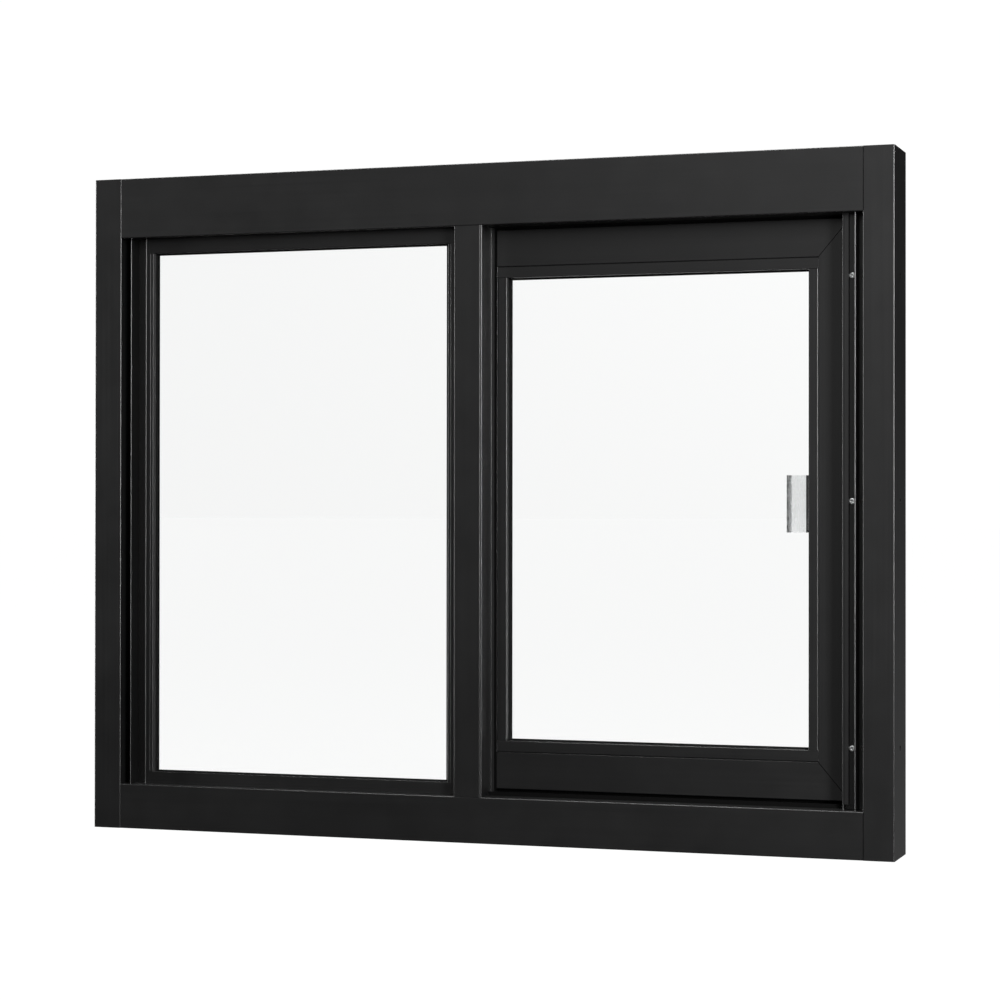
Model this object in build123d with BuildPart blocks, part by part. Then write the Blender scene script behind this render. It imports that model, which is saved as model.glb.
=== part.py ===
# Sliding concession window: an extruded frame with a fixed pane on the left of a
# mullion and a sliding sash on the right, seen from the customers' side.
# Millimetres. X runs along the window, Y into the building, Z up.
# The origin is at the middle of the sill's underside, half way through the frame.

from build123d import *
import os

# Overall frame
frame_width = 1206.5
frame_height = 971.5
frame_depth = 88.9
jamb_face = 43.3
head_face = 89.0
sill_face = 66.0
frame_wall = 2.5
frame_arris = 1.4

# Channels on the inner side of each jamb
fin_offset = 11.3
fin_thickness = 2.0
fin_setback = 8.0
channel_width = 16.8
channel_lip = 1.8
channel_setback = 20.0
channel_floor_depth = 34.0
pocket_width = 17.0

# Cover strip over the right jamb's channel
strip_thickness = 2.0
strip_flat = 8.8
strip_step = 0.8
strip_drop = 3.0
strip_clearance = 0.3
strip_bottom_gap = 7.5
strip_groove_inset = 2.6
strip_groove = 0.7
strip_arris = 0.9

# Mullion between the two lights
mullion_face = 41.7
mullion_depth = 42.0
mullion_centre = -9.0
mullion_arris = 1.2
cover_thickness = 2.2
cover_inset = 2.7
cover_arris = 0.8
seam = 0.3
snap_slot = 20.0
snap_leg = 1.8
snap_depth = 6.0
snap_hook = 1.0

# Fixed light
fixed_setback = 22.0
fixed_depth = 20.0
fixed_wall = 2.0
fixed_arris = 0.5
fixed_jamb_leg = 6.2
fixed_mullion_leg = 13.5
fixed_head_face = 22.1
fixed_sill_face = 17.7
fixed_stop_thickness = 3.0
fixed_bead_face = 6.3
fixed_bead_flat = 3.6
fixed_bead_setback = 0.6
fixed_bead_wall = 1.4

# Sliding sash
sash_setback = 45.0
sash_depth = 30.0
stile_face = 44.5
rail_face = 52.3
sash_wall = 2.2
sash_arris = 1.0
sash_inner_arris = 0.3
sash_edge_offset = 69.1
meeting_overlap = 36.2
sash_bottom_rise = 8.7
sash_top_gap = 3.1
stile_bead_face = 14.2
sash_bead_setback = 0.4
sash_bead_depth = 12.6
bead_wall = 1.8
bead_arris = 0.9
bead_rebate = 1.0
bead_rebate_depth = 3.0

# Glass and its seals
glass_thickness = 6.35
gasket_thickness = 2.0
gasket_lip = 2.0
glass_bite = 6.0

# Roller race in the head and the carriages that hang in it
race_width = 22.0
race_height = 25.5
race_slot = 7.0
wheel_radius = 10.0
wheel_width = 6.0
hub_radius = 4.0
hub_length = 1.0
axle_radius = 2.5
axle_length = 1.0
hanger_thickness = 4.0
hanger_length = 60.0
hanger_foot = 18.0
hanger_foot_thickness = 1.8
hanger_inset = 90.0

# Guide track on the sill
guide_thickness = 3.0
guide_height = 15.0
guide_clearance = 1.0
track_base = 2.0
rib_setback = 30.0
rib_thickness = 2.0
rib_height = 6.0

# Rubber bumpers on the jambs
bumper_gap = 0.3
bumper_base = 3.0
bumper_width = 20.0
bumper_nose = 10.0

# Pile seal in the mullion's back
pile_inset = 8.0
pile_base_width = 6.0
pile_base = 1.2
pile_stem = 3.4
pile_pocket = 2.0
pile_lip = 2.0
pile_gap = 0.3

# Pull on the inner side of the leading stile
pull_length = 80.0
pull_rise = 370.0
pull_thickness = 2.5
pull_reach = 44.0
pull_overlap = 15.0
pull_lip = 6.5
pull_lip_angle = 52.0
pull_bend = 2.0
pull_rib = 1.8
pad_reach = 23.4
pad_thickness = 2.0

# Anchor holes in the jambs
anchor_hole_radius = 4.0
anchor_bottom_height = 150.0
anchor_middle_height = 488.0
anchor_top_drop = 174.5

# Places worked out from the sizes above
front = -frame_depth / 2
back = frame_depth / 2
frame_left = -frame_width / 2
frame_right = frame_width / 2
head_soffit = frame_height - head_face
clear_height = head_soffit - sill_face
between_jambs = frame_width - 2 * jamb_face
channel_inner = jamb_face + fin_offset + fin_thickness + channel_width + channel_lip
channel_back = channel_floor_depth + frame_wall
pocket_inner = jamb_face + pocket_width
pocket_wall = frame_width / 2 - pocket_inner
mullion_left = mullion_centre - mullion_face / 2
mullion_right = mullion_centre + mullion_face / 2
sash_left = mullion_right - meeting_overlap
sash_right = frame_right - sash_edge_offset
sash_bottom = sill_face + sash_bottom_rise
sash_top = head_soffit - sash_top_gap
sash_width = sash_right - sash_left
sash_height = sash_top - sash_bottom
sash_front = front + sash_setback
sash_back = sash_front + sash_depth
sash_middle = sash_front + sash_depth / 2
rail_bead_face = stile_bead_face * rail_face / stile_face
sash_bead_front = sash_front + sash_bead_setback
bead_rebate_back = sash_bead_front + bead_rebate_depth
sash_glass_front = sash_bead_front + sash_bead_depth + gasket_thickness
sash_stop_front = sash_glass_front + glass_thickness + gasket_thickness
fixed_left = frame_left + channel_inner
fixed_right = mullion_left
fixed_front = front + fixed_setback
fixed_back = fixed_front + fixed_depth
fixed_stop_front = fixed_back - fixed_stop_thickness
fixed_glass_front = fixed_stop_front - gasket_thickness - glass_thickness
fixed_bead_front = fixed_front + fixed_bead_setback
fixed_bead_back = fixed_glass_front - gasket_thickness

os.makedirs("parts", exist_ok=True)


def save(builder, name):
    builder.part.label = name
    export_step(builder.part, f"parts/{name}.step")


def box_face(x_a, x_b, y_a, y_b, mode=Mode.ADD):
    """A rectangle in the open sketch, from side to side in either order."""
    with Locations(((x_a + x_b) / 2, (y_a + y_b) / 2)):
        Rectangle(abs(x_b - x_a), abs(y_b - y_a), mode=mode)


def front_edges(builder, along):
    """The edges that run along an axis in a piece's foremost plane."""
    return builder.edges().filter_by(along).group_by(Axis.Y)[0]


def back_edges(builder, along):
    return builder.edges().filter_by(along).group_by(Axis.Y)[-1]


# Head: a box section with the roller race of the sash let into its underside
race_floor = head_soffit + frame_wall
race_side = race_width / 2 + frame_wall
with BuildPart() as head:
    with BuildSketch(Plane.YZ.offset(-between_jambs / 2)):
        box_face(front, back, head_soffit, frame_height)
        box_face(front + frame_wall, back - frame_wall, race_floor, frame_height - frame_wall, mode=Mode.SUBTRACT)
        box_face(sash_middle - race_side, sash_middle + race_side, head_soffit, race_floor + race_height + frame_wall)
        box_face(sash_middle - race_width / 2, sash_middle + race_width / 2, race_floor,
                 race_floor + race_height, mode=Mode.SUBTRACT)
        box_face(sash_middle - race_slot / 2, sash_middle + race_slot / 2, head_soffit, race_floor,
                 mode=Mode.SUBTRACT)
    extrude(amount=between_jambs)
    fillet(front_edges(head, Axis.X) + back_edges(head, Axis.X), frame_arris)
save(head, "head")

# Sill: a box section with one web
with BuildPart() as sill:
    with BuildSketch(Plane.YZ.offset(-between_jambs / 2)):
        box_face(front, back, 0, sill_face)
        box_face(front + frame_wall, -frame_wall / 2, frame_wall, sill_face - frame_wall, mode=Mode.SUBTRACT)
        box_face(frame_wall / 2, back - frame_wall, frame_wall, sill_face - frame_wall, mode=Mode.SUBTRACT)
    extrude(amount=between_jambs)
    fillet(front_edges(sill, Axis.X) + back_edges(sill, Axis.X), frame_arris)
save(sill, "sill")


def make_jamb(name, side):
    """A jamb; side is -1 at the left and +1 at the right."""

    def span(offset_a, offset_b, depth_a, depth_b, mode=Mode.ADD):
        """A rectangle given by offsets in from the jamb's outer face and depths from the front."""
        box_face(side * (frame_width / 2 - offset_a), side * (frame_width / 2 - offset_b),
                 front + depth_a, front + depth_b, mode=mode)

    fin_outer = jamb_face + fin_offset
    fin_inner = fin_outer + fin_thickness
    fin_middle = side * (frame_width / 2 - fin_outer - fin_thickness / 2)
    with BuildPart() as jamb:
        with BuildSketch():
            span(0, jamb_face, 0, frame_depth)
            span(frame_wall, jamb_face - frame_wall, frame_wall, frame_depth - frame_wall, mode=Mode.SUBTRACT)
        extrude(amount=frame_height)
        fillet(front_edges(jamb, Axis.Z) + back_edges(jamb, Axis.Z), frame_arris)
        with BuildSketch(Plane.XY.offset(sill_face)):
            span(jamb_face, channel_inner, channel_floor_depth, channel_back)
            span(fin_outer, fin_inner, fin_setback + fin_thickness / 2, channel_floor_depth)
            with Locations((fin_middle, front + fin_setback + fin_thickness / 2)):
                Circle(fin_thickness / 2)
            span(channel_inner - channel_lip, channel_inner, channel_setback + channel_lip / 2,
                 channel_floor_depth)
            with Locations((side * (frame_width / 2 - channel_inner + channel_lip / 2),
                            front + channel_setback + channel_lip / 2)):
                Circle(channel_lip / 2)
            span(jamb_face - frame_wall, pocket_inner, channel_floor_depth, frame_depth)
            span(jamb_face, pocket_inner - frame_wall, channel_back, frame_depth - frame_wall,
                 mode=Mode.SUBTRACT)
        extrude(amount=clear_height)
        with BuildSketch(Plane.YZ) as anchor_holes:
            with Locations((0, anchor_bottom_height), (0, anchor_middle_height),
                           (0, frame_height - anchor_top_drop)):
                Circle(anchor_hole_radius)
        extrude(amount=side * frame_width, mode=Mode.SUBTRACT)
    save(jamb, name)


make_jamb("jamb_left", -1)
make_jamb("jamb_right", 1)

# Cover strip over the right jamb's channel: a flat lip and a sunk floor for its screws
strip_outer = frame_right - channel_inner
strip_inner = strip_outer + channel_lip + channel_width - strip_clearance
strip_front = front + channel_setback - strip_thickness
strip_floor = strip_front + strip_drop
strip_fold = strip_outer + strip_flat
strip_foot = front + channel_floor_depth
with BuildPart() as cover_strip:
    with BuildSketch(Plane.XY.offset(sill_face + strip_bottom_gap)):
        with BuildLine():
            Polyline(
                (strip_outer, strip_front),
                (strip_fold, strip_front),
                (strip_fold + strip_step, strip_floor),
                (strip_inner, strip_floor),
                (strip_inner, strip_foot),
                (strip_inner - strip_thickness, strip_foot),
                (strip_inner - strip_thickness, strip_floor + strip_thickness),
                (strip_fold + strip_step - strip_thickness, strip_floor + strip_thickness),
                (strip_fold - strip_thickness, strip_front + strip_thickness),
                (strip_outer, strip_front + strip_thickness),
                close=True,
            )
        make_face()
        box_face(strip_outer + strip_groove_inset, strip_outer + strip_groove_inset + strip_groove,
                 strip_front, strip_front + strip_groove, mode=Mode.SUBTRACT)
    extrude(amount=clear_height - strip_bottom_gap)
    fillet(front_edges(cover_strip, Axis.Z).sort_by(Axis.X)[0], strip_arris)
save(cover_strip, "cover_strip")

# Mullion: a box section, slotted in front for its cover's clips and behind for the pile
cover_right = mullion_right - cover_inset
clip_front = front + cover_thickness
mullion_back = front + mullion_depth
pile_middle = mullion_right - pile_inset
pile_floor = mullion_back - pile_lip - pile_pocket
with BuildPart() as mullion:
    with BuildSketch(Plane.XY.offset(sill_face)):
        box_face(mullion_left, mullion_right, clip_front, mullion_back)
        box_face(cover_right + seam, mullion_right, front, clip_front)
        box_face(mullion_left + frame_wall, mullion_right - frame_wall, clip_front + frame_wall,
                 mullion_back - frame_wall, mode=Mode.SUBTRACT)
        box_face(mullion_centre - snap_slot / 2, mullion_centre + snap_slot / 2, clip_front,
                 clip_front + frame_wall, mode=Mode.SUBTRACT)
        box_face(pile_middle - pile_base_width / 2 - frame_wall, pile_middle + pile_base_width / 2 + frame_wall,
                 pile_floor - frame_wall, mullion_back)
        box_face(pile_middle - pile_base_width / 2, pile_middle + pile_base_width / 2, pile_floor,
                 mullion_back - pile_lip, mode=Mode.SUBTRACT)
        box_face(pile_middle - pile_stem / 2 - pile_gap, pile_middle + pile_stem / 2 + pile_gap, pile_floor,
                 mullion_back, mode=Mode.SUBTRACT)
    extrude(amount=clear_height)
    outer_corners = mullion.edges().filter_by(Axis.Z).group_by(Axis.X)
    fillet(outer_corners[-1], mullion_arris)
    fillet(outer_corners[0].sort_by(Axis.Y)[-1], mullion_arris)
save(mullion, "mullion")

# Mullion cover: a flat face on two clip legs
with BuildPart() as mullion_cover:
    with BuildSketch(Plane.XY.offset(sill_face)):
        box_face(mullion_left, cover_right, front, clip_front)
        for leg_side in (-1, 1):
            leg_outer = mullion_centre + leg_side * (snap_slot / 2 - seam)
            hook_front = clip_front + frame_wall + seam
            box_face(leg_outer - leg_side * snap_leg, leg_outer, clip_front, clip_front + snap_depth)
            box_face(leg_outer, leg_outer + leg_side * snap_hook, hook_front, hook_front + snap_hook)
    extrude(amount=clear_height)
    fillet(front_edges(mullion_cover, Axis.Z), cover_arris)
save(mullion_cover, "mullion_cover")

# Pile seal between the mullion and the sash
with BuildPart() as mullion_pile:
    with BuildSketch(Plane.XY.offset(sash_bottom)):
        box_face(pile_middle - pile_base_width / 2, pile_middle + pile_base_width / 2, pile_floor,
                 pile_floor + pile_base)
        box_face(pile_middle - pile_stem / 2, pile_middle + pile_stem / 2, pile_floor, sash_front - pile_gap)
    extrude(amount=sash_height)
save(mullion_pile, "mullion_pile")

# Fixed light: the sight lines round its glass
fixed_sight_left = fixed_left + fixed_jamb_leg + fixed_bead_face
fixed_sight_right = fixed_right - fixed_mullion_leg - fixed_bead_face
fixed_sight_bottom = sill_face + fixed_sill_face
fixed_sight_top = head_soffit - fixed_head_face


def make_fixed_rail(place, outer, sight, way):
    """The top or bottom of the fixed light: an angle with the glass stop, and its snap-in cover bead."""
    cover_back = fixed_bead_front + fixed_wall
    with BuildPart() as rail:
        with BuildSketch(Plane.YZ.offset(fixed_left)):
            box_face(cover_back, fixed_back, outer, outer + way * fixed_wall)
            box_face(fixed_stop_front, fixed_back, outer, sight)
        extrude(amount=fixed_right - fixed_left)
    save(rail, f"fixed_frame_{place}")
    with BuildPart() as bead:
        with BuildSketch(Plane.YZ.offset(fixed_left)):
            box_face(fixed_bead_front, cover_back, outer, sight)
            box_face(cover_back, fixed_bead_back, sight, sight - way * fixed_wall)
            box_face(cover_back, fixed_bead_back, outer + way * fixed_wall, outer + 2 * way * fixed_wall)
        extrude(amount=fixed_right - fixed_left)
        fillet(front_edges(bead, Axis.X), fixed_arris)
    save(bead, f"fixed_bead_{place}")


make_fixed_rail("top", head_soffit, fixed_sight_top, -1)
make_fixed_rail("bottom", sill_face, fixed_sight_bottom, 1)


def make_fixed_upright(place, outer, sight, way):
    """A side of the fixed light: a hollow leg with the glass stop, and its bead with a sloping face."""
    leg = sight - way * fixed_bead_face
    flat = leg + way * fixed_bead_flat
    with BuildPart() as upright:
        with BuildSketch(Plane.XY.offset(fixed_sight_bottom)):
            box_face(outer, leg, fixed_front, fixed_back)
            box_face(outer + way * fixed_wall, leg - way * fixed_wall, fixed_front + fixed_wall,
                     fixed_back - fixed_wall, mode=Mode.SUBTRACT)
            box_face(leg, sight, fixed_stop_front, fixed_back)
        extrude(amount=fixed_sight_top - fixed_sight_bottom)
        fillet(front_edges(upright, Axis.Z), fixed_arris)
    save(upright, f"fixed_frame_{place}")
    with BuildPart() as bead:
        with BuildSketch(Plane.XY.offset(fixed_sight_bottom)):
            with BuildLine():
                Polyline(
                    (leg, fixed_bead_front),
                    (flat, fixed_bead_front),
                    (sight, fixed_bead_back - fixed_bead_wall),
                    (sight, fixed_bead_back),
                    (leg, fixed_bead_back),
                    close=True,
                )
            make_face()
            offset(amount=-fixed_bead_wall, mode=Mode.SUBTRACT)
        extrude(amount=fixed_sight_top - fixed_sight_bottom)
        fillet(front_edges(bead, Axis.Z), fixed_arris)
    save(bead, f"fixed_bead_{place}")


make_fixed_upright("left", fixed_left, fixed_sight_left, 1)
make_fixed_upright("right", fixed_right, fixed_sight_right, -1)


def make_pane(prefix, left, right, bottom, top, glass_front):
    """A pane and the two seals that grip it, given the sight lines round it."""
    with BuildPart() as glass:
        with BuildSketch(Plane.XZ.offset(-glass_front)):
            box_face(left - glass_bite, right + glass_bite, bottom - glass_bite, top + glass_bite)
        extrude(amount=-glass_thickness)
    save(glass, f"{prefix}_glass")
    with BuildPart() as gasket:
        for seal_front in (glass_front - gasket_thickness, glass_front + glass_thickness):
            with BuildSketch(Plane.XZ.offset(-seal_front)):
                box_face(left - glass_bite, right + glass_bite, bottom - glass_bite, top + glass_bite)
                box_face(left + gasket_lip, right - gasket_lip, bottom + gasket_lip, top - gasket_lip,
                         mode=Mode.SUBTRACT)
            extrude(amount=-gasket_thickness)
    save(gasket, f"{prefix}_gasket")


make_pane("fixed", fixed_sight_left, fixed_sight_right, fixed_sight_bottom, fixed_sight_top, fixed_glass_front)

# Sash: mitred box sections, each with a stop leg behind the glass and a rebated bead in front
guide_groove = guide_thickness / 2 + guide_clearance
stile_groove_top = sill_face + guide_height + guide_clearance


def mitre_cut(x, z, x_way, z_way, keep_rail):
    """The wedge that a mitre takes off a member at the corner (x, z)."""
    across = 2 * stile_face * x_way
    up = 2 * rail_face * z_way
    if keep_rail:
        outline = [(x, z), (x + across, z + up), (x, z + up)]
    else:
        outline = [(x, z), (x + across, z + up), (x + across, z)]
    with BuildSketch(Plane.XZ.offset(-sash_front)) as wedge:
        with BuildLine():
            Polyline(*outline, close=True)
        make_face()
    extrude(wedge.sketch, amount=-sash_depth, mode=Mode.SUBTRACT)


def make_rail(place, outer, way):
    """A sash rail and its full-width bead; way points from its outer edge towards the glass."""
    inner = outer + way * rail_face
    sight = inner + way * rail_bead_face
    with BuildPart() as rail:
        with BuildSketch(Plane.YZ.offset(sash_left)):
            box_face(sash_front, sash_back, outer, inner)
            box_face(sash_front + sash_wall, sash_back - sash_wall, outer + way * sash_wall,
                     inner - way * sash_wall, mode=Mode.SUBTRACT)
            box_face(sash_stop_front, sash_stop_front + sash_wall, inner, sight)
            if way > 0:
                box_face(sash_middle - guide_groove, sash_middle + guide_groove, outer, outer + sash_wall,
                         mode=Mode.SUBTRACT)
        extrude(amount=sash_width)
        fillet(front_edges(rail, Axis.X).sort_by(Axis.Z)[::way][0], sash_arris)
        fillet(front_edges(rail, Axis.X).sort_by(Axis.Z)[::way][-1], sash_inner_arris)
        mitre_cut(sash_left, outer, 1, way, True)
        mitre_cut(sash_right, outer, -1, way, True)
    save(rail, f"sash_{place}_rail")
    with BuildPart() as bead:
        with BuildSketch(Plane.YZ.offset(sash_left + stile_face)):
            box_face(sash_bead_front, sash_bead_front + sash_bead_depth, inner, sight)
            box_face(sash_bead_front, bead_rebate_back, inner, inner + way * bead_rebate, mode=Mode.SUBTRACT)
            offset(amount=-bead_wall, mode=Mode.SUBTRACT)
        extrude(amount=sash_width - 2 * stile_face)
        fillet(front_edges(bead, Axis.X), bead_arris)
    save(bead, f"sash_bead_{place}")


def make_stile(name, place, outer, way):
    """A sash stile and its bead, which butts between the rails' beads; way points towards the glass."""
    inner = outer + way * stile_face
    sight = inner + way * stile_bead_face
    with BuildPart() as stile:
        with BuildSketch(Plane.XY.offset(sash_bottom)):
            box_face(outer, inner, sash_front, sash_back)
            box_face(outer + way * sash_wall, inner - way * sash_wall, sash_front + sash_wall,
                     sash_back - sash_wall, mode=Mode.SUBTRACT)
            box_face(inner, sight, sash_stop_front, sash_stop_front + sash_wall)
        extrude(amount=sash_height)
        fillet(front_edges(stile, Axis.Z).sort_by(Axis.X)[::way][0], sash_arris)
        fillet(front_edges(stile, Axis.Z).sort_by(Axis.X)[::way][-1], sash_inner_arris)
        mitre_cut(outer, sash_bottom, way, 1, False)
        mitre_cut(outer, sash_top, way, -1, False)
        with BuildSketch(Plane.XY.offset(sash_bottom)):
            box_face(outer, inner, sash_middle - guide_groove, sash_middle + guide_groove)
        extrude(amount=stile_groove_top - sash_bottom, mode=Mode.SUBTRACT)
    save(stile, name)
    with BuildPart() as bead:
        with BuildSketch(Plane.XY.offset(sash_bottom + rail_face + rail_bead_face)):
            box_face(inner, sight, sash_bead_front, sash_bead_front + sash_bead_depth)
            box_face(inner, inner + way * bead_rebate, sash_bead_front, bead_rebate_back, mode=Mode.SUBTRACT)
            offset(amount=-bead_wall, mode=Mode.SUBTRACT)
        extrude(amount=sash_height - 2 * rail_face - 2 * rail_bead_face)
        fillet(front_edges(bead, Axis.Z), bead_arris)
    save(bead, f"sash_bead_{place}")


make_rail("top", sash_top, -1)
make_rail("bottom", sash_bottom, 1)
make_stile("sash_meeting_stile", "left", sash_left, 1)
make_stile("sash_lead_stile", "right", sash_right, -1)
make_pane("sash", sash_left + stile_face + stile_bead_face, sash_right - stile_face - stile_bead_face,
          sash_bottom + rail_face + rail_bead_face, sash_top - rail_face - rail_bead_face, sash_glass_front)


def make_hanger(name, centre):
    """A roller carriage: a foot on the top rail and a plate with two pairs of wheels in the race."""
    axle_height = race_floor + wheel_radius
    half_plate = hanger_thickness / 2
    wheel_rounds = (
        (axle_radius, hub_length + wheel_width + axle_length),
        (hub_radius, hub_length),
    )
    with BuildPart() as hanger:
        with BuildSketch(Plane.YZ.offset(centre - hanger_length / 2)):
            box_face(sash_middle - hanger_foot / 2, sash_middle + hanger_foot / 2, sash_top,
                     sash_top + hanger_foot_thickness)
            box_face(sash_middle - half_plate, sash_middle + half_plate, sash_top, axle_height + hub_radius)
        extrude(amount=hanger_length)
        for wheel_side in (-1, 1):
            for axle_x in (centre - hanger_length / 3, centre + hanger_length / 3):
                for radius, length in wheel_rounds:
                    with BuildSketch(Plane.XZ.offset(-(sash_middle + wheel_side * half_plate))) as round_face:
                        with Locations((axle_x, axle_height)):
                            Circle(radius)
                    extrude(round_face.sketch, amount=-wheel_side * length)
                with BuildSketch(Plane.XZ.offset(-(sash_middle + wheel_side * (half_plate + hub_length)))) as tyre:
                    with Locations((axle_x, axle_height)):
                        Circle(wheel_radius)
                extrude(tyre.sketch, amount=-wheel_side * wheel_width)
    save(hanger, name)


make_hanger("hanger_left", sash_left + hanger_inset)
make_hanger("hanger_right", sash_right - hanger_inset)

# Guide track on the sill from pocket to pocket, with a tongue that runs in the bottom rail
with BuildPart() as sill_track:
    with BuildSketch(Plane.YZ.offset(-pocket_wall)):
        box_face(fixed_back, back, sill_face, sill_face + track_base)
        box_face(sash_middle - guide_thickness / 2, sash_middle + guide_thickness / 2, sill_face,
                 sill_face + guide_height)
        box_face(back - rib_thickness, back, sill_face, sill_face + rib_height)
    extrude(amount=2 * pocket_wall)
save(sill_track, "sill_track")

# Rib in front of the sash, on the sill between the mullion and the right jamb
rib_front = front + rib_setback
with BuildPart() as sill_rib:
    with BuildSketch(Plane.YZ.offset(mullion_right)):
        box_face(rib_front, fixed_back, sill_face, sill_face + track_base)
        box_face(rib_front, rib_front + rib_thickness, sill_face, sill_face + rib_height)
    extrude(amount=strip_outer - mullion_right)
save(sill_rib, "sill_rib")


def make_bumper(name, side):
    """A rubber bumper on the jamb's pocket wall, with a nose that meets the sash."""
    wall = side * pocket_wall
    with BuildPart() as bumper:
        with BuildSketch(Plane.XY.offset(stile_groove_top)):
            box_face(wall, wall - side * bumper_base, sash_middle - bumper_width / 2,
                     sash_middle + bumper_width / 2)
            box_face(wall, side * (sash_right + bumper_gap), sash_middle - bumper_nose / 2,
                     sash_middle + bumper_nose / 2)
        extrude(amount=sash_top - stile_groove_top)
    save(bumper, name)


make_bumper("bumper_left", -1)
make_bumper("bumper_right", 1)

# Pull: a plate behind the leading stile with a rib, and a finger lip bent towards the glass
stile_edge = sash_right - stile_face
pull_right = stile_edge + pull_overlap
pull_bottom = sash_bottom + pull_rise
plate_front = sash_back + pad_thickness
pad_left = stile_edge - pad_reach
with BuildPart() as pull_handle:
    with BuildSketch(Plane.XY.offset(pull_bottom)):
        with BuildLine():
            plate_middle = plate_front + pull_thickness / 2
            plate = Line((pull_right, plate_middle), (stile_edge - pull_reach, plate_middle))
            bend = JernArc(plate @ 1, plate % 1, pull_bend, pull_lip_angle)
            Line(bend @ 1, bend @ 1 + (bend % 1) * pull_lip)
        trace(line_width=pull_thickness)
        box_face(pad_left - pull_rib, pad_left, plate_front - pull_rib, plate_front)
    extrude(amount=pull_length)
save(pull_handle, "pull_handle")

# Rubber pad between the pull's plate and the stile
with BuildPart() as pull_pad:
    with BuildSketch(Plane.XY.offset(pull_bottom)):
        box_face(pad_left, pull_right, sash_back, plate_front)
    extrude(amount=pull_length)
save(pull_pad, "pull_pad")
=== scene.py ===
import math

import bmesh
import bpy
from mathutils import Matrix, Vector


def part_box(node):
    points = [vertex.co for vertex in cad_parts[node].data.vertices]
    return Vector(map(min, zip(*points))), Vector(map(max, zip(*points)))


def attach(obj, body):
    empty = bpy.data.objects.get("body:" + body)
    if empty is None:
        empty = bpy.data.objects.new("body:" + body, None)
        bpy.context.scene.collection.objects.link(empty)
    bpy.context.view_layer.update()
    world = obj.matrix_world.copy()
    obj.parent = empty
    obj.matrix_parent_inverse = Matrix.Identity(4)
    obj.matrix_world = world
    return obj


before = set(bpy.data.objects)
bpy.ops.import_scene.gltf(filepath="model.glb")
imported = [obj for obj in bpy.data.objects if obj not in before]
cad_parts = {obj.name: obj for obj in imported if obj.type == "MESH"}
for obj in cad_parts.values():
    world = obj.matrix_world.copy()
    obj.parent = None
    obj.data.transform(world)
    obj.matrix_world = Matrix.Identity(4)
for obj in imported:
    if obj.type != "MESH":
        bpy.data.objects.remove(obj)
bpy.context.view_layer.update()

# Camera. The window is seen from the customers' side, well to the right of it and at
# half its height, through a long lens that keeps its uprights nearly parallel.
camera_data = bpy.data.cameras.new("camera")
camera_data.lens = 93.13
camera_data.sensor_width = 36.0
camera_data.clip_end = 100.0
camera = bpy.data.objects.new("camera", camera_data)
bpy.context.scene.collection.objects.link(camera)
camera_place = Vector((1.2223, -3.5298, 0.4684))
yaw, pitch, roll = math.radians(18.744), math.radians(0.338), math.radians(-0.058)
aimed = Matrix.Rotation(yaw, 4, "Z") @ Matrix.Rotation(math.pi / 2 + pitch, 4, "X")
camera.matrix_world = Matrix.Translation(camera_place) @ aimed @ Matrix.Rotation(-roll, 4, "Z")
bpy.context.scene.camera = camera

# Studio. A white room, which the metal sees as a wall of light in front, dimmer downwards and
# to the left, and a lit floor behind, with soft lights at the right, at the left and overhead.
room = bpy.data.worlds.new("studio")
room.use_nodes = True
bpy.context.scene.world = room
bpy.context.scene.view_settings.view_transform = "Standard"
room_tree = room.node_tree
window_middle = Vector((0.0, 0.0, 0.48))
floor_reach = 400.0
floor_grey = 0.012
white_room = 1.02
dark_room = 0.012
wall_brightness = 1.75
floor_glow = 0.12
floor_behind = 0.9
# A fade lists the two limits that it runs between, and its values there.
front_fade = (-0.5, 0.0, 1.0, 0.0)
wall_foot = (-0.16, 0.26, 0.06, 1.0)
wall_head = (0.45, 0.80, 1.0, 0.2)
wall_left = (-0.50, 0.0, 0.10, 1.0)
wall_right = (0.40, 0.75, 1.0, 0.1)
far_behind = (0.2, 0.8, 0.0, 1.0)
horizon_fade = (-0.12, 0.10, 1.0, 0.0)
near_behind = (0.0, 0.3, 0.0, 1.0)
floor_fade = (-0.34, -0.14, 1.0, 0.0)


class Wire:
    """A socket of a node tree, so that shader maths reads as an expression."""

    def __init__(self, socket):
        self.socket = socket
        self.tree = socket.id_data

    @staticmethod
    def node(tree, kind, settings, sockets, out=0):
        """Adds a node with its settings, then the values or links of its sockets."""
        made = tree.nodes.new(kind)
        for name, value in settings.items():
            setattr(made, name, value)
        for name, value in sockets.items():
            if isinstance(value, Wire):
                tree.links.new(value.socket, made.inputs[name])
            else:
                made.inputs[name].default_value = value
        return Wire(made.outputs[out])

    def maths(self, operation, first, second):
        return Wire.node(self.tree, "ShaderNodeMath", {"operation": operation}, {0: first, 1: second})

    def __add__(self, other):
        return self.maths("ADD", self, other)

    def __radd__(self, other):
        return self.maths("ADD", other, self)

    def __sub__(self, other):
        return self.maths("SUBTRACT", self, other)

    def __rsub__(self, other):
        return self.maths("SUBTRACT", other, self)

    def __mul__(self, other):
        return self.maths("MULTIPLY", self, other)

    def __rmul__(self, other):
        return self.maths("MULTIPLY", other, self)

    def __truediv__(self, other):
        return self.maths("DIVIDE", self, other)


def fade(value, low, high, at_low, at_high):
    """A smooth change of one part of a direction between two limits."""
    ends = {"Value": value, "From Min": low, "From Max": high, "To Min": at_low, "To Max": at_high}
    return Wire.node(room_tree, "ShaderNodeMapRange", {"interpolation_type": "SMOOTHSTEP"}, ends)


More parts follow.
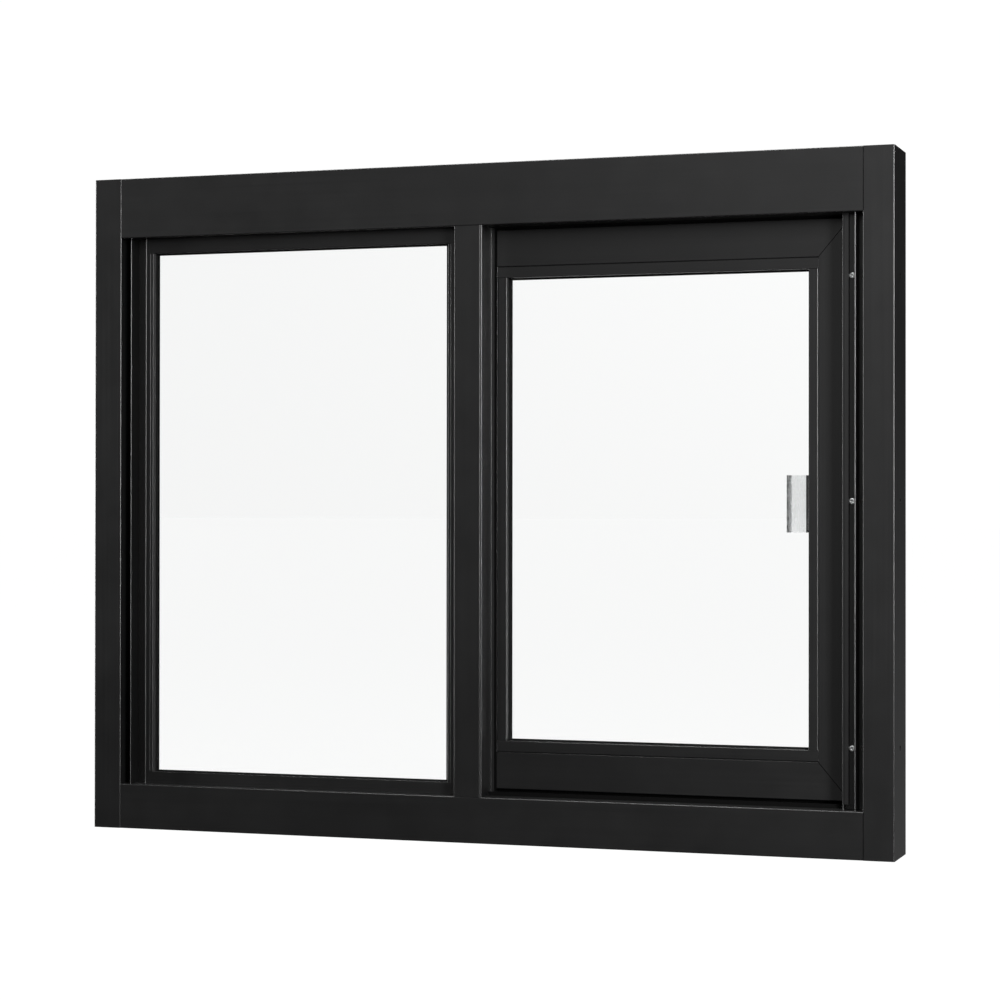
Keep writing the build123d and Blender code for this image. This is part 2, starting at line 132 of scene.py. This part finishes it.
seen_way = Wire.node(room_tree, "ShaderNodeTexCoord", {}, {}, out="Generated")
way_x, way_y, way_z = [Wire.node(room_tree, "ShaderNodeSeparateXYZ", {}, {0: seen_way}, out=axis)
                       for axis in "XYZ"]
in_front = fade(way_y, *front_fade)
wall_rise = fade(way_z, *wall_foot) * fade(way_z, *wall_head)
wall_side = fade(way_x, *wall_left) * fade(way_x, *wall_right)
behind_low = fade(way_y, *far_behind) * fade(way_z, *horizon_fade)
behind_floor = fade(way_y, *near_behind) * fade(way_z, *floor_fade)
behind = floor_glow * behind_low + floor_behind * behind_floor
reflected = dark_room + wall_brightness * (in_front * wall_rise * wall_side) + behind
glossy_turns = Wire.node(room_tree, "ShaderNodeLightPath", {}, {}, out="Glossy Depth")
diffuse_turns = Wire.node(room_tree, "ShaderNodeLightPath", {}, {}, out="Diffuse Depth")
all_turns = glossy_turns + diffuse_turns
on_metal = all_turns.maths("MINIMUM", all_turns, 1.0)
brightness = white_room + on_metal * (reflected - white_room)
room_light = room_tree.nodes["Background"]
room_light.inputs["Color"].default_value = (1.0, 1.0, 1.0, 1.0)
room_tree.links.new(brightness.socket, room_light.inputs["Strength"])


def add_softbox(name, place, width, height, watts):
    """A rectangular soft light that looks at the window's middle and isn't seen itself."""
    lamp = bpy.data.lights.new(name, "AREA")
    lamp.shape = "RECTANGLE"
    lamp.size = width
    lamp.size_y = height
    lamp.energy = watts
    box = bpy.data.objects.new(name, lamp)
    bpy.context.scene.collection.objects.link(box)
    way = window_middle - Vector(place)
    box.matrix_world = Matrix.Translation(place) @ way.to_track_quat("-Z", "Y").to_matrix().to_4x4()
    box.visible_camera = False
    box.visible_transmission = False


add_softbox("key_light", (2.75, -2.45, 1.4), width=0.8, height=2.4, watts=620.0)
add_softbox("left_rim_light", (-3.0, -0.40, 0.9), width=0.6, height=2.4, watts=200.0)
add_softbox("top_light", (0.0, -0.55, 3.2), width=3.0, height=0.6, watts=200.0)

floor_mesh = bpy.data.meshes.new("floor")
floor_form = bmesh.new()
bmesh.ops.create_grid(floor_form, x_segments=1, y_segments=1, size=floor_reach)
floor_form.to_mesh(floor_mesh)
floor_form.free()
floor = bpy.data.objects.new("floor", floor_mesh)
bpy.context.scene.collection.objects.link(floor)
floor_paint = bpy.data.materials.new("pale_floor")
floor_paint.use_nodes = True
floor_skin = floor_paint.node_tree.nodes["Principled BSDF"]
floor_skin.inputs["Base Color"].default_value = (floor_grey, floor_grey, floor_grey, 1.0)
floor_skin.inputs["Roughness"].default_value = 0.9
floor_skin.inputs["Specular IOR Level"].default_value = 0.0
floor_skin.inputs["Emission Color"].default_value = (1.0, 1.0, 1.0, 1.0)
floor_skin.inputs["Emission Strength"].default_value = 1.0
floor_mesh.materials.append(floor_paint)
floor.visible_glossy = False
floor.visible_diffuse = False

# Frame. Head, sill and jambs are aluminium extrusions, cut square, screwed together at
# the corners and finished with a satin black anodised coat over fine drawing lines.
anodised_black = (0.0009, 0.0009, 0.00095)
coat_index = 1.40
satin_roughness = 0.34
line_pitch = 520.0
line_length = 2.2
grain_pitch = 1400.0
cloud_pitch = 7.0
rub_pitch = 28.0
drawn_relief = 0.000012


def new_finish(name):
    """A node material, its tree, its shader and the coordinates of the object."""
    finish = bpy.data.materials.new(name)
    finish.use_nodes = True
    tree = finish.node_tree
    place = Wire.node(tree, "ShaderNodeTexCoord", {}, {}, out="Object")
    return finish, tree, tree.nodes["Principled BSDF"], place


def noise(tree, place, scale, detail):
    """Soft noise about one half over a surface."""
    return Wire.node(tree, "ShaderNodeTexNoise", {}, {"Vector": place, "Scale": scale, "Detail": detail})


def stretched(tree, place, scales):
    """The place with its own scale along each axis."""
    return Wire.node(tree, "ShaderNodeMapping", {}, {"Vector": place, "Scale": scales})


def toned(tree, colour, tone):
    """A colour made lighter or darker over the surface."""
    return Wire.node(tree, "ShaderNodeVectorMath", {"operation": "SCALE"}, {0: colour, "Scale": tone})


def skin_over(tree, skin, colour, roughness, height, strength):
    """Joins the colour, roughness and relief in metres to the shader."""
    bump = Wire.node(tree, "ShaderNodeBump", {}, {"Height": height, "Distance": 1.0, "Strength": strength})
    tree.links.new(colour.socket, skin.inputs["Base Color"])
    tree.links.new(roughness.socket, skin.inputs["Roughness"])
    tree.links.new(bump.socket, skin.inputs["Normal"])


def black_extrusion(name, along, seam_or_shade_at=None):
    """Satin black anodised aluminium drawn along an axis, its shine mixed with flat black where a mask says:
    on a dark joint, or as painted shade.
    """
    finish, tree, skin, place = new_finish(name)
    lines = noise(tree, stretched(tree, place, [line_length if axis == along else line_pitch
                                                for axis in "XYZ"]), 1.0, 2.0)
    grain = noise(tree, place, grain_pitch, 1.0)
    cloud = noise(tree, place, cloud_pitch, 3.0)
    rubbed = noise(tree, place, rub_pitch, 5.0)
    roughness = satin_roughness + (cloud - 0.5) * 0.06 + (rubbed - 0.5) * 0.05 + (lines - 0.5) * 0.09
    tone = 1.0 + (cloud - 0.5) * 0.22 + (lines - 0.5) * 0.10
    height = (lines * 0.6 + grain * 0.4) * drawn_relief
    skin_over(tree, skin, toned(tree, anodised_black, tone), roughness, height, 0.35)
    skin.inputs["IOR"].default_value = coat_index
    if seam_or_shade_at is not None:
        shadow = Wire.node(tree, "ShaderNodeBsdfDiffuse", {}, {"Color": (0.0, 0.0, 0.0, 1.0)})
        metal = Wire(skin.outputs["BSDF"])
        joined = Wire.node(tree, "ShaderNodeMixShader", {}, {0: seam_or_shade_at(tree, place), 1: metal, 2: shadow})
        tree.links.new(joined.socket, tree.nodes["Material Output"].inputs["Surface"])
    return finish


def dress(finish, *nodes):
    """Gives nodes of the frame their finish."""
    for node in nodes:
        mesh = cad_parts[node].data
        mesh.materials.clear()
        mesh.materials.append(finish)


head_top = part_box("head")[1].z
top_skin = 0.0002
top_shade_strength = 0.995


def head_top_painted_shade(tree, place):
    """Nearly one on the head's top face, where it sets painted shade that blacks out the face's shine."""
    z = Wire.node(tree, "ShaderNodeSeparateXYZ", {}, {0: place}, out="Z")
    return z.maths("GREATER_THAN", z, head_top - top_skin) * top_shade_strength


black_across = black_extrusion("black_anodised_across", "X")
black_upright = black_extrusion("black_anodised_upright", "Z")
# Painted shade on the head's top face: nearly all its shine is swapped for flat black.
dress(black_extrusion("head_black_shaded_top", "X", head_top_painted_shade), "head")
dress(black_across, "sill")
dress(black_upright, "jamb_left", "jamb_right")

# Cover strip. A snapped-in extrusion with a rounded lip and a sunk floor that closes the
# right jamb's channel, in the same black coat, held by three bright pan-head screws.
dress(black_upright, "cover_strip")
strip_low, strip_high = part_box("cover_strip")
strip_screw_heights = (0.150, 0.488, 0.797)
strip_screw_radius = 0.0042
strip_screw_height = 0.0024
strip_floor_drop = 0.003
strip_screw_inset = 0.0050
screw_dome_drop = 0.35
cross_half_width = 0.16
cross_reach = 0.56
cross_depth = 0.62
cross_taper = 0.72
screw_skirt = ((0.30, 1.04), (0.35, 1.0))
screw_base_rim = 0.08
zinc_blue = (0.50, 0.52, 0.54, 1.0)
zinc_warm = (0.62, 0.62, 0.60, 1.0)
bloom_pitch = 900.0


def add_piece(name, form, finish):
    """A finished mesh as a piece that rides with the window."""
    mesh = bpy.data.meshes.new(name)
    form.to_mesh(mesh)
    form.free()
    mesh.materials.append(finish)
    piece = bpy.data.objects.new(name, mesh)
    bpy.context.scene.collection.objects.link(piece)
    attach(piece, "root")
    return piece


def points_of(made):
    """The points among what a bmesh operator made."""
    return [item for item in made["geom"] if isinstance(item, bmesh.types.BMVert)]


def zinc_plate(name):
    """Bright zinc plating with a faint blue bloom and the cut of the tool in its roughness."""
    finish, tree, skin, place = new_finish(name)
    bloom = noise(tree, place, bloom_pitch, 3.0)
    colour = Wire.node(tree, "ShaderNodeMix", {"data_type": "RGBA"},
                       {"Factor": bloom, 6: zinc_blue, 7: zinc_warm}, out=2)
    skin_over(tree, skin, colour, 0.22 + bloom * 0.16, bloom * 0.00002, 0.4)
    skin.inputs["Metallic"].default_value = 1.0
    return finish


def pan_head():
    """A pan-head screw of unit radius and height with a cross recess, facing +Z."""
    form = bmesh.new()
    bmesh.ops.create_grid(form, x_segments=5, y_segments=5, size=1.0)
    placed = {0.6: cross_reach, 0.2: cross_half_width}
    for point in form.verts:
        x, y = point.co.x, point.co.y
        if max(abs(x), abs(y)) > 0.9:
            angle = math.atan2(y, x)
            point.co.x, point.co.y = math.cos(angle), math.sin(angle)
        else:
            for axis, value in ((0, x), (1, y)):
                nearest = min(placed, key=lambda step: abs(step - abs(value)))
                point.co[axis] = math.copysign(placed[nearest], value)
        point.co.z = 1.0 - screw_dome_drop * (point.co.x ** 2 + point.co.y ** 2)
    cross = []
    for face in form.faces:
        near, far = sorted(abs(value) for value in face.calc_center_median()[:2])
        if far < cross_reach and near < cross_half_width / 2:
            cross.append(face)
    sunk = points_of(bmesh.ops.extrude_face_region(form, geom=cross))
    bmesh.ops.delete(form, geom=cross, context="FACES")
    bmesh.ops.translate(form, vec=(0.0, 0.0, -cross_depth), verts=sunk)
    bmesh.ops.scale(form, vec=(cross_taper, cross_taper, 1.0), verts=sunk)
    rim = [edge for edge in form.edges if edge.is_boundary]
    for drop, grow in screw_skirt:
        walls = bmesh.ops.extrude_edge_only(form, edges=rim)
        low = points_of(walls)
        bmesh.ops.translate(form, vec=(0.0, 0.0, -drop), verts=low)
        bmesh.ops.scale(form, vec=(grow, grow, 1.0), verts=low)
        rim = [item for item in walls["geom"] if isinstance(item, bmesh.types.BMEdge) and item.is_boundary]
    base = bmesh.ops.contextual_create(form, geom=rim)
    bmesh.ops.inset_region(form, faces=base["faces"], thickness=screw_base_rim, depth=0.0)
    return form


def rounded(piece, levels):
    """Smooths a piece with a subdivision surface, the same in the view and the render."""
    smooth = piece.modifiers.new("rounding", "SUBSURF")
    smooth.levels = levels
    smooth.render_levels = levels
    for face in piece.data.polygons:
        face.use_smooth = True


def add_screws(name, seats, facing, radius, height, finish):
    """Pan-head screws on their seats as one piece, each with its recess left at its own angle."""
    form = bmesh.new()
    size = Matrix.Diagonal((radius, radius, height, 1.0))
    template = pan_head()
    for number, seat in enumerate(seats):
        screw = bpy.data.meshes.new("screw")
        template.to_mesh(screw)
        screw.transform(Matrix.Translation(seat) @ facing @ Matrix.Rotation(0.5 + number, 4, "Z") @ size)
        form.from_mesh(screw)
        bpy.data.meshes.remove(screw)
    template.free()
    rounded(add_piece(name, form, finish), 2)


bright_zinc = zinc_plate("bright_zinc")
facing_front = Matrix.Rotation(math.pi / 2, 4, "X")
strip_seats = [Vector((strip_high.x - strip_screw_inset, strip_low.y + strip_floor_drop, screw_height))
               for screw_height in strip_screw_heights]
add_screws("strip_screws", strip_seats, facing_front, strip_screw_radius, strip_screw_height, bright_zinc)

# Jamb screws. Black pan-head screws in the floor of the narrow groove beside each jamb's
# face, at the same heights as the strip's, that pin the track section to the jamb.
jamb_screw_radius = 0.0038
jamb_screw_height = 0.0020
jamb_groove_inset = 0.04895
jamb_groove_depth = 0.034
jamb_seats = []
for jamb, outwards in (("jamb_left", -1), ("jamb_right", 1)):
    jamb_low, jamb_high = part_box(jamb)
    outer_face = jamb_high.x if outwards > 0 else jamb_low.x
    for screw_height in strip_screw_heights:
        jamb_seats.append(Vector((outer_face - outwards * jamb_groove_inset,
                                  jamb_low.y + jamb_groove_depth, screw_height)))


def soft_black(name, shade, rough, scale, relief, gloss=0.5):
    """Matt black rubber, plastic or pile: an even dark body with a fine broken surface."""
    finish, tree, skin, place = new_finish(name)
    speck = noise(tree, place, scale, 3.0)
    colour = toned(tree, (shade, shade, shade), 0.8 + speck * 0.4)
    skin_over(tree, skin, colour, rough + (speck - 0.5) * 0.15, speck * relief, 0.6)
    skin.inputs["Specular IOR Level"].default_value = gloss
    return finish


blackened_steel = soft_black("blackened_steel", 0.02, 0.35, 900.0, 0.00002)
add_screws("jamb_screws", jamb_seats, facing_front, jamb_screw_radius, jamb_screw_height, blackened_steel)

# Mullion. A box extrusion between the two lights with a clipped-on face, a rear flange with
# a rounded lip and a black rubber wiper, and a woven pile in its back for the sash.
dress(black_upright, "mullion", "mullion_cover")
mullion_low, mullion_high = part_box("mullion")
mullion_side = mullion_high.x
mullion_back = mullion_high.y
lip_radius = 0.0005
lip_offset = 0.0003
lip_step = 15
flange_root = 0.0050
flange_thickness = 0.0011
flange_reach = 0.0048
flange_end = mullion_side + flange_reach
wiper_reach = 0.0077
wiper_end = mullion_side + wiper_reach
wiper_rub = 0.0003
wiper_thickness = 0.0009
sharp_angle = math.radians(30.0)


def draw_section(corners, low, high):
    """Closes a section given as points in plan and draws it up between two heights."""
    form = bmesh.new()
    base = bmesh.ops.contextual_create(form, geom=[form.verts.new((x, y, low)) for x, y in corners])
    raised = bmesh.ops.extrude_face_region(form, geom=base["faces"], use_keep_orig=True)
    bmesh.ops.translate(form, vec=(0.0, 0.0, high - low), verts=points_of(raised))
    bmesh.ops.recalc_face_normals(form, faces=form.faces)
    form.normal_update()
    for edge in form.edges:
        edge.smooth = edge.calc_face_angle() < sharp_angle
    return form


flange_section = [(mullion_side - flange_root, mullion_back + flange_thickness),
                  (mullion_side - flange_root, mullion_back)]
for degrees in range(180, 360 + lip_step, lip_step):
    turn = math.radians(degrees)
    flange_section.append((mullion_side + lip_offset + lip_radius * math.cos(turn),
                           mullion_back + lip_radius * math.sin(turn)))
flange_section += [(flange_end, mullion_back), (flange_end, mullion_back + flange_thickness)]
flange_form = draw_section(flange_section, mullion_low.z, mullion_high.z)
for face in flange_form.faces:
    face.smooth = True
add_piece("mullion_flange", flange_form, black_upright)

wiper_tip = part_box("sash_meeting_stile")[0].y - wiper_rub
wiper_section = [(flange_end, mullion_back), (wiper_end, wiper_tip - wiper_thickness),
                 (wiper_end, wiper_tip), (flange_end, mullion_back + flange_thickness)]
wiper_form = draw_section(wiper_section, mullion_low.z, mullion_high.z)
wiper_rubber = soft_black("wiper_rubber", 0.0008, 0.9, 700.0, 0.00004, 0.0)
add_piece("mullion_wiper", wiper_form, wiper_rubber)
pile_black = soft_black("woven_pile", 0.0012, 0.95, 1800.0, 0.0006, 0.0)
dress(pile_black, "mullion_pile")

# Fixed light. An angle frame with snapped-in beads round a clear pane, gripped by a black
# rubber wedge on each side of the glass.
dress(black_across, "fixed_frame_top", "fixed_frame_bottom", "fixed_bead_top", "fixed_bead_bottom")
dress(black_upright, "fixed_frame_left", "fixed_frame_right", "fixed_bead_left", "fixed_bead_right")
glass_tint = (0.960, 0.966, 0.963, 1.0)
glass_index = 1.5
film_pitch = 3.5
film_haze = 0.012


def clear_pane(name):
    """Clear float glass, faintly green, with the last film of handling in its roughness."""
    finish, tree, skin, place = new_finish(name)
    film = noise(tree, place, film_pitch, 6.0)
    tree.links.new((film * film_haze).socket, skin.inputs["Roughness"])
    skin.inputs["Base Color"].default_value = glass_tint
    skin.inputs["Transmission Weight"].default_value = 1.0
    skin.inputs["IOR"].default_value = glass_index
    return finish


float_glass = clear_pane("float_glass")
wedge_rubber = soft_black("wedge_rubber", 0.0015, 0.7, 600.0, 0.00008, 0.06)
dress(float_glass, "fixed_glass")
dress(wedge_rubber, "fixed_gasket")

# Sliding sash. Four mitred box extrusions with butted snap-in beads round a second pane, in
# the same black coat with its drawing lines turning at each mitre.
sash_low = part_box("sash_meeting_stile")[0]
sash_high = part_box("sash_lead_stile")[1]
stile_width = sash_high.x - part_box("sash_lead_stile")[0].x
rail_height = sash_high.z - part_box("sash_top_rail")[0].z
seam_half_width = 0.00032
seam_edge = 0.00016


def mitre_seam(tree, place):
    """One on the hairline joint that runs from each corner of the sash to its glazing."""
    x, z = [Wire.node(tree, "ShaderNodeSeparateXYZ", {}, {0: place}, out=axis) for axis in "XZ"]
    from_side = x.maths("MINIMUM", x - sash_low.x, sash_high.x - x)
    from_end = z.maths("MINIMUM", z - sash_low.z, sash_high.z - z)
    across = (from_side * rail_height - from_end * stile_width) / math.hypot(rail_height, stile_width)
    apart = across.maths("ABSOLUTE", across, 0.0)
    ends = {"Value": apart, "From Min": seam_half_width, "From Max": seam_half_width + seam_edge,
            "To Min": 1.0, "To Max": 0.0}
    return Wire.node(tree, "ShaderNodeMapRange", {}, ends)


for node, along in (("sash_top_rail", "X"), ("sash_bottom_rail", "X"),
                    ("sash_meeting_stile", "Z"), ("sash_lead_stile", "Z")):
    dress(black_extrusion(f"{node}_black", along, mitre_seam), node)
dress(black_across, "sash_bead_top", "sash_bead_bottom")
dress(black_upright, "sash_bead_left", "sash_bead_right")
dress(float_glass, "sash_glass")
dress(wedge_rubber, "sash_gasket")

# Pull. A bent strip of clear anodised aluminium, brushed along its length, on a rubber
# pad behind the leading stile and held by two screws from the room's side.
brushed_silver = (0.96, 0.965, 0.97)
brushed_scales = (2600.0, 2600.0, 12.0)
brushed_roughness = 0.27
smear_pitch = 60.0


def brushed_metal(name):
    """Clear anodised aluminium with brush lines that run upright."""
    finish, tree, skin, place = new_finish(name)
    hairs = noise(tree, stretched(tree, place, brushed_scales), 1.0, 3.0)
    smear = noise(tree, place, smear_pitch, 4.0)
    roughness = brushed_roughness + (hairs - 0.5) * 0.12 + (smear - 0.5) * 0.08
    colour = toned(tree, brushed_silver, 0.94 + hairs * 0.08)
    skin_over(tree, skin, colour, roughness, hairs * 0.00001, 0.4)
    skin.inputs["Metallic"].default_value = 1.0
    return finish


dress(brushed_metal("clear_anodised"), "pull_handle")
dress(wedge_rubber, "pull_pad")
facing_room = Matrix.Rotation(-math.pi / 2, 4, "X")
pull_screw_radius = 0.0040
pull_screw_height = 0.0022
pull_screw_inset = 0.0075
pull_screw_spread = 0.050
plate_thickness = 0.0025
pull_low, pull_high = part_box("pull_handle")
pull_middle = (pull_low.z + pull_high.z) / 2
pad_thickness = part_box("pull_pad")[1].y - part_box("pull_pad")[0].y
plate_back = sash_high.y + pad_thickness + plate_thickness
pull_seats = [Vector((pull_high.x - pull_screw_inset, plate_back, pull_middle + way * pull_screw_spread / 2))
              for way in (-1, 1)]
add_screws("pull_screws", pull_seats, facing_room, pull_screw_radius, pull_screw_height, bright_zinc)

# Running gear. Black carriages with moulded wheels hang in the head's race, a track and rib in
# almost lightless matt black, painted shade, guide the sash on the sill, and rubber bumpers stop it at
# either jamb.
dress(soft_black("moulded_black", 0.03, 0.45, 300.0, 0.00003), "hanger_left", "hanger_right")
# The sill's track and rib are painted shade: far darker and duller than the frame's black coat.
dress(soft_black("guide_black_painted_shade", 0.0008, 0.7, 500.0, 0.00002, 0.02), "sill_track", "sill_rib")
dress(wedge_rubber, "bumper_left", "bumper_right")

# Head pile. A woven weatherstrip under the head, two rows of black bristles in a thin
# backing, that closes the gap over the sash and brushes along its top rail.
pile_width = 0.0040
pile_setback = 0.0010
pile_backing = 0.0010
pile_rub = 0.0002
pile_rows = (0.3, 0.7)
tuft_pitch = 0.0016
tuft_radius = 0.0008
tuft_spread = 1.15
tuft_sides = 5
tuft_lean = 0.0003
lean_turn = 2.4
row_turn = 9.0
head_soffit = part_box("head")[0].z
pile_front = sash_low.y + pile_setback
pile_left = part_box("fixed_frame_left")[0].x
pile_length = sash_high.x - pile_left
tuft_length = head_soffit - sash_high.z - pile_backing - pile_rub
tuft_middle = head_soffit - pile_backing - tuft_length / 2
pile_form = bmesh.new()
backing_place = Matrix.Translation((pile_left + pile_length / 2, pile_front + pile_width / 2,
                                    head_soffit - pile_backing / 2))
backing_size = Matrix.Diagonal((pile_length, pile_width, pile_backing, 1.0))
bmesh.ops.create_cube(pile_form, size=1.0, matrix=backing_place @ backing_size)
for row in pile_rows:
    for number in range(int(pile_length / tuft_pitch) - 1):
        lean = tuft_lean * math.sin(number * lean_turn + row * row_turn)
        tuft_place = Matrix.Translation((pile_left + (number + 0.5 + row) * tuft_pitch,
                                         pile_front + row * pile_width, tuft_middle))
        leaned = Matrix.Shear("XY", 4, (lean / tuft_length, 0.0))
        bmesh.ops.create_cone(pile_form, cap_ends=True, segments=tuft_sides,
                              radius1=tuft_radius * tuft_spread, radius2=tuft_radius,
                              depth=tuft_length, matrix=tuft_place @ leaned)
add_piece("head_pile", pile_form, pile_black)
